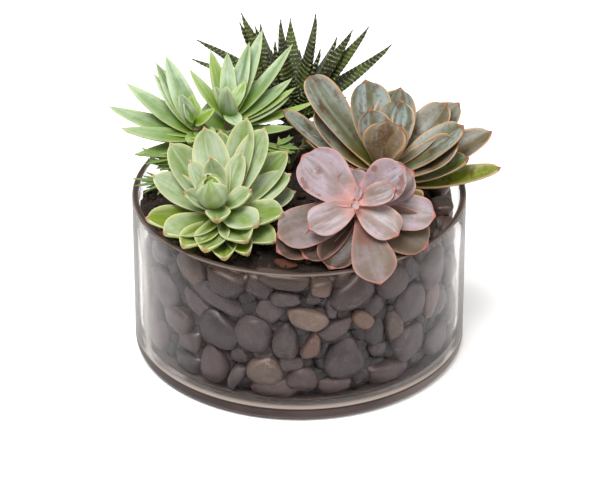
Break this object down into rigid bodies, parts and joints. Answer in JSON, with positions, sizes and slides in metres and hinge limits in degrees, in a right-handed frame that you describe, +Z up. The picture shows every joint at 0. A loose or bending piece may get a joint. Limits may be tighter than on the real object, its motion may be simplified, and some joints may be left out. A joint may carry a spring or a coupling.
{
  "type": "succulent dish garden in a glass bowl",
  "caption": "Clear glass cylinder bowl of river pebbles and potting soil, planted with rosette succulents, a banded haworthia and small sedum sprigs.",
  "frame": {"origin": "centre of the bowl's flat underside", "axes": "+Z up along the bowl's axis, -Y towards the front, +X to the right as seen from the front"},
  "size_m": [0.2399, 0.2198, 0.1783],
  "materials": {
    "clear_glass": "clear soda glass, polished, faintly smoky at the rim",
    "grey_pebble": "tumbled grey river stone, satin",
    "tan_pebble": "tumbled tan river stone, satin",
    "soil": "dark crumbly potting soil with bark, matte",
    "green_leaf": "pale mint-green fleshy leaf, waxy, cream edges and small red tips",
    "pink_leaf": "mauve-grey fleshy leaf, waxy, salmon edges",
    "grey_leaf": "blue-grey fleshy leaf, waxy, tan edges",
    "blue_leaf": "green fleshy leaf with a pale blue bloom",
    "zebra_leaf": "dark olive leaf with pale raised cross bands",
    "sedum_leaf": "bright green small fleshy leaf"
  },
  "bodies": {
    "root": {"glass_bowl": "clear_glass", "pebbles_grey": "grey_pebble", "pebble_tan_1": "tan_pebble", "pebble_tan_2": "tan_pebble", "pebble_tan_3": "tan_pebble", "pebble_tan_4": "tan_pebble", "pebble_tan_5": "tan_pebble", "pebble_tan_6": "tan_pebble", "pebble_tan_7": "tan_pebble", "pebble_tan_8": "tan_pebble", "pebble_top_1": "tan_pebble", "pebble_top_2": "tan_pebble", "soil": "soil", "green_echeveria": "green_leaf", "pink_echeveria": "pink_leaf", "grey_echeveria": "grey_leaf", "blue_succulent_left": "blue_leaf", "blue_succulent_right": "blue_leaf", "zebra_haworthia": "zebra_leaf", "sedum_sprig_rim": "sedum_leaf", "sedum_sprig_middle": "sedum_leaf"}
  },
  "joints": []
}
